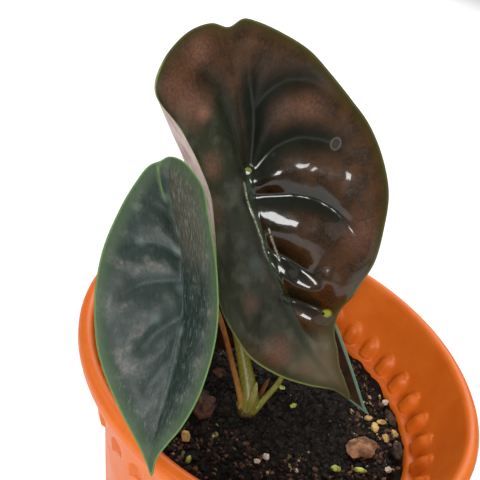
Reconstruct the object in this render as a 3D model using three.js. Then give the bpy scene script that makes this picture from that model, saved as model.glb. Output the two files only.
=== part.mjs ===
// A small copper-leaved aroid in a round moulded plastic pot. Millimetres, +Z up.
// The origin is the middle of the pot's base. The front of the plant looks toward -Y.
import * as THREE from "three";

// Pot
const POT_HEIGHT = 118;
const RIM_R = 75;
const BASE_R = 45;
const FLOOR_Z = 2.2;
const FLUTES = 38;
const FLUTE_PHASE = 1.43;
const FLUTE_STEPS = 4;
const DRAIN_HOLES = 6;
const DRAIN_R = 4;
const DRAIN_RING = 30;
// Pot section, from the outer base edge over the lip to the floor edge: radius, height, flute depth
const POT_SECTION = [
  [43.6, 0, 0], [BASE_R, 1.6, 0], [60.7, 84.5, 0], [64.9, 87.9, 2.9], [65.3, 89.6, 2.6],
  [67.3, 97.6, 2.6], [68.3, 101.4, 0], [70.4, 109.6, 0], [73.4, 110.9, 0], [74.8, 113.6, 0],
  [RIM_R, 115.5, 0], [74.0, 117.4, 0], [72.4, POT_HEIGHT, 0], [70.9, 117.7, 0],
  [70.1, 116.6, 0], [68.9, 110, 0], [67.0, 101.2, 0], [66.2, 98.4, 2.3], [64.2, 90.3, 2.6],
  [63.6, 88.8, 2.6], [60.1, 86.4, 0], [43.6, FLOOR_Z, 0],
];

// Soil
const SOIL_EDGE_R = 59.65;
const SOIL_EDGE_Z = 86.0;
const SOIL_FOOT_R = 43.2;
const SOIL_FOOT_Z = 2.6;
const SOIL_MOUND = 3.2;
const SOIL_SIDES = 48;
const SOIL_RINGS = [1, 0.9, 0.78, 0.65, 0.52, 0.39, 0.26, 0.13];
// The play that a piece keeps to what carries it
const GAP = 0.3;

// Plant
const BLADE = 1.0;
const BLADE_SIDES = 44;
const BLADE_RINGS = [0.22, 0.42, 0.6, 0.76, 0.89, 1];
const CROWN = { x: -5.5, y: -11.7, r: 4.2, h: 4.4, sides: 12 };
// Crown section: share of its radius, share of its height
const CROWN_SECTION = [[0.86, 0], [1, 0.3], [0.97, 0.7], [0.88, 1]];

// Leaves: the point where the stalk joins, the way to the tip, the way the upper face looks,
// stations along the midrib and the flat outline.
// A station is: distance, sideways bow, dip, then the rise of the left half at the midrib and
// 40 mm out, and the same for the right half, in degrees. A last number is how much more the
// left half turns in for each millimetre beyond CURL_FROM.
const CURL_FROM = 20;
const BIG = {
  at: [-35, 20, 168], tip: [65, -22, -63], face: [0.06, -0.86, 0.5],
  stations: [
    [-55, 16, -6, 5, 20, 10, -10, 0], [-40, 12, -3.2, 5, 25, 10, -8, 3.2],
    [-25, 7.5, -1.2, 8, 40, 9, -5, 4.5], [-10, 3, -0.2, 12, 63, 8, -2, 4.6],
    [5, -1.2, 0, 18, 80, 8, 0, 4.3], [30, -5.8, -1.1, 22, 72, 8, 4, 1.9],
    [50, -6.2, -3, 20, 62, 8, 4, 0], [70, -3.4, -6, 12, 35, 6, 2, 0], [100, 0, -12, 5, 15, 5, 0, 0],
  ],
  outline: [
    [0.5, 99.5], [3, 89.5], [3.8, 84], [6.5, 76.5], [8, 71], [10, 67], [12, 64.5], [15.5, 61.5],
    [22, 58.5], [26.5, 55.5], [35, 49.5], [42.5, 39.5], [48, 28.5], [49, 16.5], [46.5, 3],
    [41, -8], [34.5, -19.5], [28.5, -29], [20, -38], [11, -46], [6.5, -48.8], [1, -48.3],
    [-5, -52], [-13.5, -52.5], [-22, -49], [-28.5, -43.5], [-33, -38.5], [-36.5, -33.5],
    [-38.6, -28.5], [-39.5, -23], [-38.8, -17], [-38.1, -10], [-36.6, -2], [-35, 5],
    [-34.4, 12], [-34.4, 20], [-33.5, 30], [-30.5, 39.5], [-28, 48], [-25, 60.5],
    [-18.5, 74.5], [-10.5, 85], [-3, 92.5],
  ],
};
const SMALL = {
  at: [-42, -43, 166], tip: [10, -37, -42], face: [-0.1, -0.75, 0.62],
  stations: [
    [-35, -10, -3.6, 6, -5, 25, 35], [-20, -7, -1.2, 7, 3, 42, 52], [0, 0, 0, 8, 10, 50, 66],
    [15, 3.2, -0.2, 8, 8, 50, 64], [30, 3.2, -0.8, 8, 5, 45, 58], [50, 1, -2.1, 6, 0, 35, 40],
    [62, 1, -3.2, 5, -5, 25, 25],
  ],
  outline: [
    [1.5, 56], [2.2, 51.5], [4.5, 47.5], [8, 42.5], [11.5, 35.5], [14, 28.5], [16, 21.5],
    [17.2, 15.5], [17.8, 9.5], [18, 2], [17.2, -4], [16, -11.5], [14.5, -18.5], [8.5, -25],
    [4, -28.3], [-0.5, -29.5], [-3, -27.7], [-6, -25.8], [-10, -20], [-16, -10.5], [-21, -1],
    [-23.5, 8], [-24, 14], [-22, 24], [-18, 32], [-11, 41], [-3, 50],
  ],
};
const BACK = {
  at: [3, 13, 108], tip: [39, -4, -16.5], face: [0.06, 0.98, -0.08],
  stations: [[-35, 0, -3, 6, 0, 6, 0], [0, 0, 0, 6, 6, 6, 6], [44, 0, 0, 6, 0, 6, 0]],
  outline: [
    [0.3, 44], [1.4, 35.4], [2.6, 27], [5.7, 16.6], [10.2, 4.2], [13.6, -6.5], [16.5, -13.2],
    [22, -15.6], [26.5, -17.5], [28, -21], [26, -25.6], [20.4, -30], [12, -32], [4.7, -30.7],
    [2.5, -27.5], [-2, -26.5], [-9.5, -22.3], [-16, -15.4], [-19.6, -7.2], [-20.2, -0.4],
    [-18.4, 6.7], [-13.8, 16.3], [-7.7, 28.1], [-0.9, 40.8],
  ],
};

// Stalks: points from the crown to just under the blade, and the radius at foot and top.
// The last point is worked out from the leaf, so it isn't in the list.
const STALK_BIG = { foot: 2.0, top: 1.4, path: [[-5.6, -11.2], [-9.1, -7.2, 101],
  [-18.9, 2.4, 113.8], [-27.5, 9.9, 124.5], [-33, 17, 134], [-36, 22, 149]] };
const STALK_SMALL = { foot: 0.85, top: 0.8, path: [[-8.3, -13.4], [-11.9, -12, 101],
  [-16.4, -12.3, 109.5], [-20.8, -14.2, 119.3], [-26.7, -18.7, 132.9], [-32.9, -26.4, 147.2],
  [-38, -34.6, 158]] };
const STALK_BACK = { foot: 1.1, top: 0.9, path: [[-2.4, -12.7], [-0.5, -9.5, 97.5],
  [2.6, -3.5, 102], [3.6, 4, 105.5]] };
const STALK_SIDES = 8;
const STALK_STEPS = 18;

// Leaf sheaths: points from the crown up, as x, y and height over the crown, the radius at foot
// and top, and how flat the section is
const SHEATH_NEW = { foot: 1.05, top: 0.35, flat: 0.7,
  path: [[-5.2, -14.9, 0], [-5.3, -14.2, 6], [-6.3, -12.6, 12.5]] };
const SHEATH_DRY = { foot: 0.8, top: 0.5, flat: 0.5,
  path: [[-2.9, -9.3, 0], [-2.5, -8.9, 6], [-2, -8.4, 12.5]] };
const SHEATH_SIDES = 6;

const COLOURS = {
  pot: [0xd9692c, 0.45], soil: [0x17130f, 0.95], crown: [0x6a5a2c, 0.7],
  blade_big: [0x4a3226, 0.25], blade_small: [0x2f423a, 0.5], blade_back: [0x5a2c24, 0.5],
  stalk: [0x77762c, 0.5], stalk_tan: [0xa5793a, 0.55], sheath: [0xa8a672, 0.6],
  sheath_dry: [0x9a6238, 0.8], clay: [0x5a3422, 0.9], bark: [0xa87c5c, 0.85],
  bark_dark: [0x3a2a22, 0.9], grain: [0xb89550, 0.7], perlite: [0xd8cdba, 0.9],
  green: [0xa0ac46, 0.6],
};

const deg = (a) => a * Math.PI / 180;
const unit = (a) => new THREE.Vector3(...a).normalize();

function material(key) {
  const [color, roughness] = COLOURS[key];
  return new THREE.MeshStandardMaterial({ color, roughness, metalness: 0 });
}

// A closed mesh whose faces are turned outward
function solid(name, points, faces, key) {
  let volume = 0;
  for (const [a, b, c] of faces) {
    volume += points[a].dot(new THREE.Vector3().crossVectors(points[b], points[c]));
  }
  const order = volume < 0 ? faces.map(([a, b, c]) => [a, c, b]) : faces;
  const geometry = new THREE.BufferGeometry();
  geometry.setAttribute("position",
    new THREE.Float32BufferAttribute(points.flatMap((p) => [p.x, p.y, p.z]), 3));
  geometry.setIndex(order.flat());
  geometry.computeVertexNormals();
  const mesh = new THREE.Mesh(geometry, material(key));
  mesh.name = name;
  return mesh;
}

// Faces between two rings of n points that start at a and b
function band(faces, a, b, n) {
  for (let i = 0; i < n; i++) {
    const j = (i + 1) % n;
    faces.push([a + i, b + i, b + j], [a + i, b + j, a + j]);
  }
}

// Faces from a ring of n points that starts at a to one point
function fan(faces, a, n, centre, turned) {
  for (let i = 0; i < n; i++) {
    const j = (i + 1) % n;
    faces.push(turned ? [a + j, a + i, centre] : [a + i, a + j, centre]);
  }
}

// A flat face with round holes. The hole rings start at the indices in holes.
function holedFace(faces, points, ring, n, holes, m, turned) {
  const flat = (start, count) => Array.from({ length: count }, (_, i) =>
    new THREE.Vector2(points[start + i].x, points[start + i].y));
  const indices = [...Array(n).keys()].map((i) => ring + i);
  for (const h of holes) indices.push(...[...Array(m).keys()].map((i) => h + i));
  for (const [a, b, c] of THREE.ShapeUtils.triangulateShape(flat(ring, n),
    holes.map((h) => flat(h, m)))) {
    const face = [indices[a], indices[b], indices[c]];
    faces.push(turned ? face.reverse() : face);
  }
}

function makePot() {
  const n = FLUTES * FLUTE_STEPS;
  const m = 12;
  const points = [];
  const faces = [];
  for (const [r, z, flute] of POT_SECTION) {
    for (let i = 0; i < n; i++) {
      const a = deg(FLUTE_PHASE + i * 360 / n);
      const inward = flute * (0.5 + 0.5 * Math.cos(i * 2 * Math.PI / FLUTE_STEPS));
      points.push(new THREE.Vector3((r - inward) * Math.cos(a), (r - inward) * Math.sin(a), z));
    }
  }
  for (let row = 0; row + 1 < POT_SECTION.length; row++) band(faces, row * n, (row + 1) * n, n);
  const low = [];
  const high = [];
  for (let h = 0; h < DRAIN_HOLES; h++) {
    const a = deg(h * 360 / DRAIN_HOLES + 30);
    for (const [list, z] of [[low, 0], [high, FLOOR_Z]]) {
      list.push(points.length);
      for (let i = 0; i < m; i++) {
        const b = i * 2 * Math.PI / m;
        points.push(new THREE.Vector3(DRAIN_RING * Math.cos(a) + DRAIN_R * Math.cos(b),
          DRAIN_RING * Math.sin(a) + DRAIN_R * Math.sin(b), z));
      }
    }
  }
  holedFace(faces, points, 0, n, low, m, false);
  holedFace(faces, points, (POT_SECTION.length - 1) * n, n, high, m, true);
  low.forEach((start, h) => band(faces, high[h], start, m));
  return solid("pot", points, faces, "pot");
}

// Height of the soil surface: a low mound with soft waves
function soilZ(x, y) {
  const edge = Math.min(1, Math.hypot(x, y) / SOIL_EDGE_R);
  const waves = 0.7 * Math.sin(x / 7 + 1) * Math.cos(y / 9) + 0.5 * Math.sin(x / 8 - y / 6 + 2);
  return SOIL_EDGE_Z + SOIL_MOUND * (1 - edge ** 3) + waves * (1 - edge ** 6);
}

function makeSoil() {
  const n = SOIL_SIDES;
  const rings = SOIL_RINGS;
  const points = [];
  const faces = [];
  const ring = (r, height) => {
    for (let i = 0; i < n; i++) {
      const a = i * 2 * Math.PI / n;
      const x = r * Math.cos(a);
      const y = r * Math.sin(a);
      points.push(new THREE.Vector3(x, y, height ?? soilZ(x, y)));
    }
  };
  ring(SOIL_FOOT_R, SOIL_FOOT_Z);
  for (const r of rings) ring(r * SOIL_EDGE_R);
  for (let row = 0; row < rings.length; row++) band(faces, row * n, (row + 1) * n, n);
  points.push(new THREE.Vector3(0, 0, SOIL_FOOT_Z), new THREE.Vector3(0, 0, soilZ(0, 0)));
  fan(faces, 0, n, points.length - 2, false);
  fan(faces, rings.length * n, n, points.length - 1, true);
  return solid("soil", points, faces, "soil");
}

// Smooth values between the stations of a leaf
function station(list, v) {
  const last = list.length - 1;
  const at = Math.min(Math.max(v, list[0][0]), list[last][0]);
  let i = 0;
  while (i < last - 1 && at > list[i + 1][0]) i++;
  const [p, q] = [list[i], list[i + 1]];
  const before = list[Math.max(i - 1, 0)];
  const after = list[Math.min(i + 2, last)];
  const h = q[0] - p[0];
  const t = (at - p[0]) / h;
  return p.slice(1).map((_, k) => {
    const [y0, y1] = [p[k + 1], q[k + 1]];
    const m0 = h * (y1 - before[k + 1]) / (q[0] - before[0]);
    const m1 = h * (after[k + 1] - y0) / (after[0] - p[0]);
    return y0 * (1 + 2 * t) * (1 - t) ** 2 + m0 * t * (1 - t) ** 2
      + y1 * t * t * (3 - 2 * t) + m1 * t * t * (t - 1);
  });
}

// Middle surface of a leaf: u across from the midrib, v along toward the tip
function bladePoint(leaf, u, v) {
  const along = unit(leaf.tip);
  const face = unit(leaf.face);
  face.addScaledVector(along, -face.dot(along)).normalize();
  const across = new THREE.Vector3().crossVectors(face, along);
  const [bow, dip, left0, left1, right0, right1, curl = 0] = station(leaf.stations, v);
  const near = Math.min(Math.abs(u), CURL_FROM);
  const start = deg(u < 0 ? left0 : right0);
  const turn = (deg(u < 0 ? left1 : right1) - start) / 40 || 1e-6;
  const middle = start + turn * near;
  const turnBeyond = turn + (u < 0 ? deg(curl) : 0) || 1e-6;
  const end = middle + turnBeyond * (Math.abs(u) - near);
  const out = Math.sign(u) * ((Math.sin(middle) - Math.sin(start)) / turn
    + (Math.sin(end) - Math.sin(middle)) / turnBeyond);
  const rise = (Math.cos(start) - Math.cos(middle)) / turn
    + (Math.cos(middle) - Math.cos(end)) / turnBeyond;
  return new THREE.Vector3(...leaf.at).addScaledVector(along, v)
    .addScaledVector(across, bow + out).addScaledVector(face, dip + rise);
}

function bladeNormal(leaf, u, v) {
  const e = 0.5;
  const du = bladePoint(leaf, u + e, v).sub(bladePoint(leaf, u - e, v));
  const dv = bladePoint(leaf, u, v + e).sub(bladePoint(leaf, u, v - e));
  return dv.cross(du).normalize();
}

function makeLeaf(name, leaf, key) {
  const n = BLADE_SIDES;
  const rings = BLADE_RINGS;
  const curve = new THREE.CatmullRomCurve3(
    leaf.outline.map(([u, v]) => new THREE.Vector3(u, v, 0)), true, "centripetal");
  const outline = curve.getSpacedPoints(n).slice(0, n);
  const points = [];
  const faces = [];
  const place = (u, v, side) => points.push(bladePoint(leaf, u, v)
    .addScaledVector(bladeNormal(leaf, u, v), side * BLADE / 2));
  for (const side of [1, -1]) {
    const first = points.length;
    for (const r of rings) for (const p of outline) place(r * p.x, r * p.y, side);
    place(0, 0, side);
    for (let row = 0; row + 1 < rings.length; row++) {
      const [a, b] = [first + row * n, first + (row + 1) * n];
      if (side > 0) band(faces, a, b, n);
      else band(faces, b, a, n);
    }
    fan(faces, first, n, points.length - 1, side < 0);
  }
  const layer = rings.length * n + 1;
  band(faces, layer - 1 - n, 2 * layer - 1 - n, n);
  return solid(name, points, faces, key);
}

// A closed tapering tube through the points. Its foot is level.
function makeTube(name, path, radii, key, sides, steps, flat = 1) {
  const curve = new THREE.CatmullRomCurve3(path);
  const frames = curve.computeFrenetFrames(steps, false);
  const points = [];
  const faces = [];
  for (let i = 0; i <= steps; i++) {
    const t = i / steps;
    const centre = curve.getPointAt(t);
    const r = THREE.MathUtils.lerp(radii[0], radii[1], t);
    for (let j = 0; j < sides; j++) {
      const a = j * 2 * Math.PI / sides;
      points.push(centre.clone().addScaledVector(frames.normals[i], r * Math.cos(a))
        .addScaledVector(frames.binormals[i], r * flat * Math.sin(a)));
      if (i === 0) points[points.length - 1].z = path[0].z;
    }
    if (i) band(faces, (i - 1) * sides, i * sides, sides);
  }
  points.push(curve.getPointAt(0), curve.getPointAt(1));
  fan(faces, 0, sides, points.length - 2, false);
  fan(faces, steps * sides, sides, points.length - 1, true);
  return solid(name, points, faces, key);
}

// Lowest height at which the points clear the soil by the gap
function seat(points, x, y) {
  return GAP + Math.max(...points.map((p) => soilZ(x + p.x, y + p.y) - p.z));
}

function makeCrown() {
  const section = CROWN_SECTION;
  const n = CROWN.sides;
  const points = [];
  const faces = [];
  for (const [r, z] of section) {
    for (let i = 0; i < n; i++) {
      const a = i * 2 * Math.PI / n;
      const wave = 1 + 0.07 * Math.sin(3 * a + 1);
      points.push(new THREE.Vector3(CROWN.r * r * wave * Math.cos(a),
        CROWN.r * r * wave * Math.sin(a), CROWN.h * z));
    }
  }
  for (let row = 0; row + 1 < section.length; row++) band(faces, row * n, (row + 1) * n, n);
  points.push(new THREE.Vector3(0, 0, 0), new THREE.Vector3(0, 0, CROWN.h));
  fan(faces, 0, n, points.length - 2, false);
  fan(faces, (section.length - 1) * n, n, points.length - 1, true);
  const foot = seat(points, CROWN.x, CROWN.y);
  points.forEach((p) => p.add(new THREE.Vector3(CROWN.x, CROWN.y, foot)));
  return [solid("crown", points, faces, "crown"), foot + CROWN.h];
}

function makeStalk(name, stalk, leaf, crownTop, key) {
  const path = stalk.path.map(([x, y, z]) => new THREE.Vector3(x, y, z ?? crownTop + GAP));
  const under = bladePoint(leaf, 0, 0)
    .addScaledVector(bladeNormal(leaf, 0, 0), -(BLADE / 2 + GAP));
  const normal = bladeNormal(leaf, 0, 0);
  path.push(under.clone().addScaledVector(normal, -3), under);
  return makeTube(name, path, [stalk.foot, stalk.top], key, STALK_SIDES, STALK_STEPS);
}

function makeSheath(name, sheath, crownTop, key) {
  const path = sheath.path.map(([x, y, up]) => new THREE.Vector3(x, y, crownTop + GAP + up));
  return makeTube(name, path, [sheath.foot, sheath.top], key, SHEATH_SIDES, SHEATH_SIDES,
    sheath.flat);
}

// An irregular lump: sizes along x, y and z, turned about Z, seated on the soil
function makeLump(name, [x, y, sx, sy, sz, turn, detail, seed], key) {
  const ball = new THREE.IcosahedronGeometry(0.5, detail);
  const position = ball.getAttribute("position");
  const points = [];
  const faces = [];
  const seen = new Map();
  const corner = (i) => {
    const p = new THREE.Vector3().fromBufferAttribute(position, i);
    const id = [p.x, p.y, p.z].map((c) => c.toFixed(4)).join(" ");
    if (!seen.has(id)) {
      seen.set(id, points.length);
      const wave = 1 + 0.09 * Math.sin(9 * p.x + seed) * Math.cos(8 * p.y + 2 * seed)
        + 0.06 * Math.sin(11 * p.z + 3 * seed);
      p.multiplyScalar(wave).multiply(new THREE.Vector3(sx, sy, sz));
      points.push(p.applyAxisAngle(new THREE.Vector3(0, 0, 1), deg(turn)));
    }
    return seen.get(id);
  };
  for (let i = 0; i < position.count; i += 3) faces.push([corner(i), corner(i + 1), corner(i + 2)]);
  const z = seat(points, x, y);
  points.forEach((p) => p.add(new THREE.Vector3(x, y, z)));
  return solid(name, points, faces, key);
}

// Loose pieces on the soil: name, colour, then x, y, three sizes, turn, detail and seed
const LUMPS = [
  ["clay_ball", "clay", [-21.5, -19.5, 10, 12, 8, 20, 2, 1]],
  ["clay_crumb", "clay", [-18.6, 2.4, 5, 4.5, 4, 0, 1, 2]],
  ["bark_chip_light", "bark", [40, -9.8, 15, 8.5, 4, 40, 2, 3]],
  ["bark_chip_dark_a", "bark_dark", [55.8, -2.6, 9, 4.6, 2.8, 92, 1, 4]],
  ["bark_chip_dark_b", "bark_dark", [53.6, 14.4, 9, 3.6, 2.6, 112, 1, 5]],
  ["grain_a", "grain", [46, 4, 4.6, 3.4, 2.6, 100, 1, 6]],
  ["grain_b", "grain", [50.8, 1.4, 4.4, 2.8, 2.2, 110, 1, 7]],
  ["grain_c", "grain", [43.6, 8.4, 3.6, 2.4, 2, 10, 1, 8]],
  ["grain_d", "grain", [49.2, 9.2, 4.2, 2.2, 2, 20, 1, 9]],
  ["grain_e", "grain", [55.2, 6.4, 3.6, 2.2, 2, 140, 1, 10]],
  ["seed_case", "grain", [-23.7, -32.4, 3, 4.6, 2.6, 15, 1, 11]],
  ["perlite_a", "perlite", [5.3, -28.7, 2.6, 2.4, 2.2, 0, 1, 12]],
  ["perlite_b", "perlite", [2.6, -31.9, 2.4, 2, 1.8, 0, 1, 13]],
  ["perlite_c", "perlite", [51.8, 23.2, 2.8, 2.4, 2.2, 30, 1, 14]],
  ["perlite_d", "perlite", [52, -13, 3, 2.6, 2.2, 30, 1, 15]],
  ["green_bit_a", "green", [12.1, -0.5, 3.2, 1.8, 1.8, 40, 1, 16]],
  ["green_bit_b", "green", [6.3, 5.6, 2.6, 2.2, 1.8, 10, 1, 17]],
  ["green_bit_c", "green", [40.5, -18.6, 4.2, 2.4, 2, 20, 1, 18]],
  ["green_bit_d", "green", [31.2, -22.7, 4, 2.4, 2, 10, 1, 19]],
  ["green_bit_e", "green", [-20.3, -40.4, 3.2, 2, 1.8, 80, 1, 20]],
];

const part = new THREE.Group();
part.name = "potted_alocasia";
part.add(makePot(), makeSoil());
const [crown, crownTop] = makeCrown();
part.add(crown);
part.add(makeStalk("stalk_big", STALK_BIG, BIG, crownTop, "stalk"));
part.add(makeStalk("stalk_small", STALK_SMALL, SMALL, crownTop, "stalk_tan"));
part.add(makeStalk("stalk_back", STALK_BACK, BACK, crownTop, "stalk"));
part.add(makeLeaf("leaf_big", BIG, "blade_big"));
part.add(makeLeaf("leaf_small", SMALL, "blade_small"));
part.add(makeLeaf("leaf_back", BACK, "blade_back"));
part.add(makeSheath("sheath_new", SHEATH_NEW, crownTop, "sheath"));
part.add(makeSheath("sheath_dry", SHEATH_DRY, crownTop, "sheath_dry"));
for (const [name, key, shape] of LUMPS) part.add(makeLump(name, shape, key));

export default part;
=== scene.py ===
import math
from collections import namedtuple

import bmesh
import bpy
import numpy as np
from mathutils import Matrix, Vector, geometry, noise


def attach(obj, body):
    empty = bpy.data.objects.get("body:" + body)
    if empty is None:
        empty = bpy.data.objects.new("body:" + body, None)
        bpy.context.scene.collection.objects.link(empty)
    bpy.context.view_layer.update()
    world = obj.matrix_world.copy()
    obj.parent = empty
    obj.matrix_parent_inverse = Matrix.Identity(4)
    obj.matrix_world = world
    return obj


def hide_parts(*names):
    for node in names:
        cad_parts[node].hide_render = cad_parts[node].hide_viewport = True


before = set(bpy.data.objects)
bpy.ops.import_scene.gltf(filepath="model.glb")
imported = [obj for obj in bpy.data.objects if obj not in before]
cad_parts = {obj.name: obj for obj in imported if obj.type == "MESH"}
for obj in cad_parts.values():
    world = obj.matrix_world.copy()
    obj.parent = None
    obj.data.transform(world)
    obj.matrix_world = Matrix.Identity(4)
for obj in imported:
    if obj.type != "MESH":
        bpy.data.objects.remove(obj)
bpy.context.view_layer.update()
MM = 0.001

# Camera: where the photograph was taken from, the way its frame lies, and its lens
CAMERA_AT = (-29.38, -184.4, 265.97)
CAMERA_RIGHT = (0.9392, 0.1799, 0.2924)
CAMERA_UP = (-0.3433, 0.4921, 0.8000)
CAMERA_BACK = (0.0, -0.8517, 0.5240)
LENS = 48.0
SENSOR = 36.0

# Pot
FLUTES = 38
FLUTE_PHASE = 1.43
FLUTE_DEPTH = 2.8
# Mesh columns to a flute, and the height of the mesh rows in the flute band
FLUTE_STEPS = 14
ROW_STEP = 0.8
DRAIN_HOLES = 6
DRAIN_R = 4.0
DRAIN_RING = 30.0
DRAIN_PHASE = 30
FLOOR_Z = 2.2
# Section of the pot from the outer base edge over the lip to the floor edge: radius and height
POT_OUTSIDE = [
    (43.6, 0.0), (44.6, 0.4), (45.0, 1.6), (60.5, 83.4), (60.9, 84.6), (63.9, 87.0), (64.7, 87.8),
    (64.95, 88.6), (67.4, 98.2), (68.3, 101.4), (70.3, 109.0), (70.9, 109.5), (70.7, 110.1),
    (73.0, 110.7), (74.2, 111.8), (74.8, 113.6), (74.96, 115.3),
]
POT_INSIDE = [
    (74.8, 116.4), (74.0, 117.3), (72.4, 117.95), (71.2, 117.7), (70.3, 116.8), (69.9, 115.4),
    (68.9, 110.0), (67.0, 101.2), (66.3, 98.4), (64.2, 90.3), (63.7, 89.0), (62.9, 88.0),
    (60.6, 86.9), (60.1, 86.0), (44.2, 3.4), (43.6, FLOOR_Z),
]
FLUTE_LOW = 86.2
FLUTE_HIGH = 98.6

# Soil
SOIL_EDGE_R = 59.65
SOIL_EDGE_Z = 86.0
SOIL_FOOT_R = 43.2
SOIL_FOOT_Z = 2.6
SOIL_MOUND = 3.2
# Loose bits lie on the soil out to this radius, and keep this far from the crown
BITS_R = 58.2
CROWN_AT = (-5.5, -11.7)
CROWN_CLEAR = 3.6

# Leaves: the point where the stalk joins, the way to the tip, the way the upper face looks,
# stations along the midrib and the flat outline, which are those of the imported model.
# A station is: distance, sideways bow, dip, then the rise of the left half at the midrib and
# 40 mm out, and the same for the right half, in degrees. A last number is how much more the
# left half turns in for each millimetre beyond CURL_FROM.
# A vein is its flat route from the midrib out, and how deep and how wide its valley is.
# Inset keeps the fine blade's outline just inside the imported one, and seed turns its ripples.
# Dark is how far the darkening along a vein spreads, as a share of its width: partly the vein's
# own dark colour, partly painted shade in its sunken valley. Lift is how far the blade
# stands up between the veins, groove how deep the midrib lies in it, and the rib is the ridge
# along the midrib. A bulge is its flat place, height and reach. A pale line is a flat route of a
# fine raised ridge painted pale: on the copper blade a painted highlight along the midrib, on
# the dusty blade a green line at its notch.
CURL_FROM = 20
BLADE_THICK = 0.32
BIG = {
    "inset": 0.993, "seed": 1, "dark": 1.35, "groove": 1.0, "rib_height": 0.35, "rib_width": 1.5,
    "at": (-35, 20, 168), "tip": (65, -22, -63), "face": (0.06, -0.86, 0.5),
    "stations": [
        (-55, 16, -6, 5, 20, 10, -10, 0), (-40, 12, -3.2, 5, 25, 10, -8, 3.2),
        (-25, 7.5, -1.2, 8, 40, 9, -5, 4.5), (-10, 3, -0.2, 12, 63, 8, -2, 4.6),
        (5, -1.2, 0, 18, 80, 8, 0, 4.3), (30, -5.8, -1.1, 22, 72, 8, 4, 1.9),
        (50, -6.2, -3, 20, 62, 8, 4, 0), (70, -3.4, -6, 12, 35, 6, 2, 0), (100, 0, -12, 5, 15, 5, 0, 0),
    ],
    "outline": [
        (0.5, 99.5), (3, 89.5), (3.8, 84), (6.5, 76.5), (8, 71), (10, 67), (12, 64.5), (15.5, 61.5),
        (22, 58.5), (26.5, 55.5), (35, 49.5), (42.5, 39.5), (48, 28.5), (49, 16.5), (46.5, 3),
        (41, -8), (34.5, -19.5), (28.5, -29), (20, -38), (11, -46), (6.5, -48.8), (1, -48.3),
        (-5, -52), (-13.5, -52.5), (-22, -49), (-28.5, -43.5), (-33, -38.5), (-36.5, -33.5),
        (-38.6, -28.5), (-39.5, -23), (-38.8, -17), (-38.1, -10), (-36.6, -2), (-35, 5),
        (-34.4, 12), (-34.4, 20), (-33.5, 30), (-30.5, 39.5), (-28, 48), (-25, 60.5),
        (-18.5, 74.5), (-10.5, 85), (-3, 92.5),
    ],
    "midrib": [(0, 0), (-1, 10), (-1, 20), (0, 34), (0, 46), (-2.5, 58), (-3.5, 72), (-1.5, 88), (0.5, 98)],
    "veins": [
        ([(-1, 0), (-2.5, -5.5), (-4, -18), (-6, -26), (-6, -36), (-8, -48)], 1.5, 4.5),
        ([(1, -1), (4.5, -15), (5.3, -28), (6.8, -37), (10.5, -40), (15.5, -39)], 2.4, 4.5),
        ([(5.5, -19), (11, -22), (18, -23), (25, -20.5), (31, -16), (37, -9), (41, -1)], 2.3, 5.0),
        ([(3, 0), (10, -3.5), (15.5, -4), (21, -3), (28, 0.5), (35, 6), (41, 13), (43, 22)], 2.7, 5.0),
        ([(0, 9), (6, 11), (13, 14), (19.5, 17.5), (25, 22.5), (30, 31), (32, 38), (31, 45), (28, 51)],
         3.0, 4.2),
        ([(0.5, 29), (4.5, 33), (9, 39.5), (12, 46), (13.5, 52)], 2.6, 3.8),
        ([(-0.5, 48), (4, 52), (8, 57), (11, 62), (12.5, 64.5)], 2.6, 3.2),
        ([(-2.5, 62), (1.5, 68), (4.5, 74)], 0.8, 3.0),
        ([(-7, -32), (-10, -35.5), (-13.5, -39), (-16, -42.5)], 1.3, 3.2),
        ([(-6, -26), (-9, -30.5), (-13, -34), (-18.5, -37.5), (-23, -39)], 1.2, 3.6),
        ([(-3, -11.5), (-7.5, -17), (-14, -20), (-20, -22), (-23.5, -25)], 0.8, 4.5),
        ([(-3, 4.5), (-8.5, 2.5), (-17, 0), (-25, -3)], 0.6, 3.6),
        ([(-2.5, 23), (-6, 24), (-12, 25), (-16, 27.5), (-24, 33)], 0.8, 4.0),
        ([(0, 45.5), (-6, 45.5), (-13, 50), (-18, 58.5), (-20, 66)], 1.1, 4.5),
        ([(-2.5, 60), (-6, 66), (-9.5, 74), (-10, 80)], 0.8, 3.6),
    ],
    "bulges": [
        ((11, 24), 1.4, 7.5), ((20, 30), 1.0, 7), ((4.5, 39), 1.0, 4), ((9, 48), 1.3, 4),
        ((17, 47), 1.0, 4), ((4, 60), 1.2, 4), ((9, 6), 1.0, 4.5), ((-13, 42), 0.6, 8),
        ((-14, -24), 0.5, 4),
    ],
    # Painted highlights, on fine raised ridges along the midrib's edges
    "pale_lines": [
        [(-2.6, 3), (-2.4, 8), (-2, 14), (-1.4, 20), (-0.8, 27), (-0.5, 34)],
        [(3, 22), (3, 26), (3.2, 30), (3.6, 35)],
    ],
}
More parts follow.
